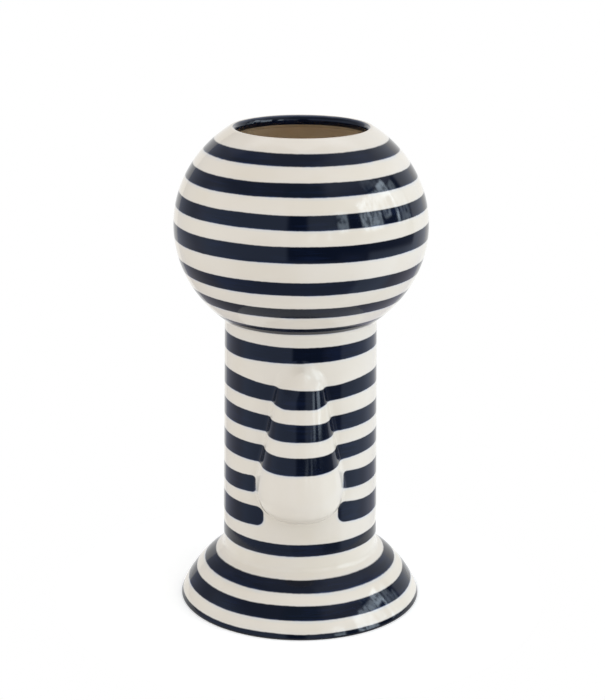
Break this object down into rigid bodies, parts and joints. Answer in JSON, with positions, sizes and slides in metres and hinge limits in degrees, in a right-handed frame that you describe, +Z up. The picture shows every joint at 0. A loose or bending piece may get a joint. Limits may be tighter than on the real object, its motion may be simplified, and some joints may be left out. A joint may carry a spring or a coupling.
{
  "type": "striped vase",
  "caption": "Glazed earthenware flower vase: a globe with an open mouth on a tall column with a nose in relief, over a bell-shaped foot.",
  "frame": {"origin": "on the vase's axis, at the surface that it stands on", "axes": "+Z up along the axis, -Y towards the front with the nose, +X to the right of someone who faces the front"},
  "size_m": [0.1654, 0.1654, 0.3215],
  "materials": {
    "cream_glaze": "high gloss clear glaze over cream slip, with painted navy bands",
    "navy_glaze": "high gloss clear glaze over navy underglaze",
    "bare_clay": "matt fired clay"
  },
  "bodies": {
    "root": {"mouth_lip": "navy_glaze", "globe": "cream_glaze", "column": "cream_glaze", "nose": "cream_glaze", "foot_bell": "cream_glaze", "floor_disc": "bare_clay"}
  },
  "joints": []
}
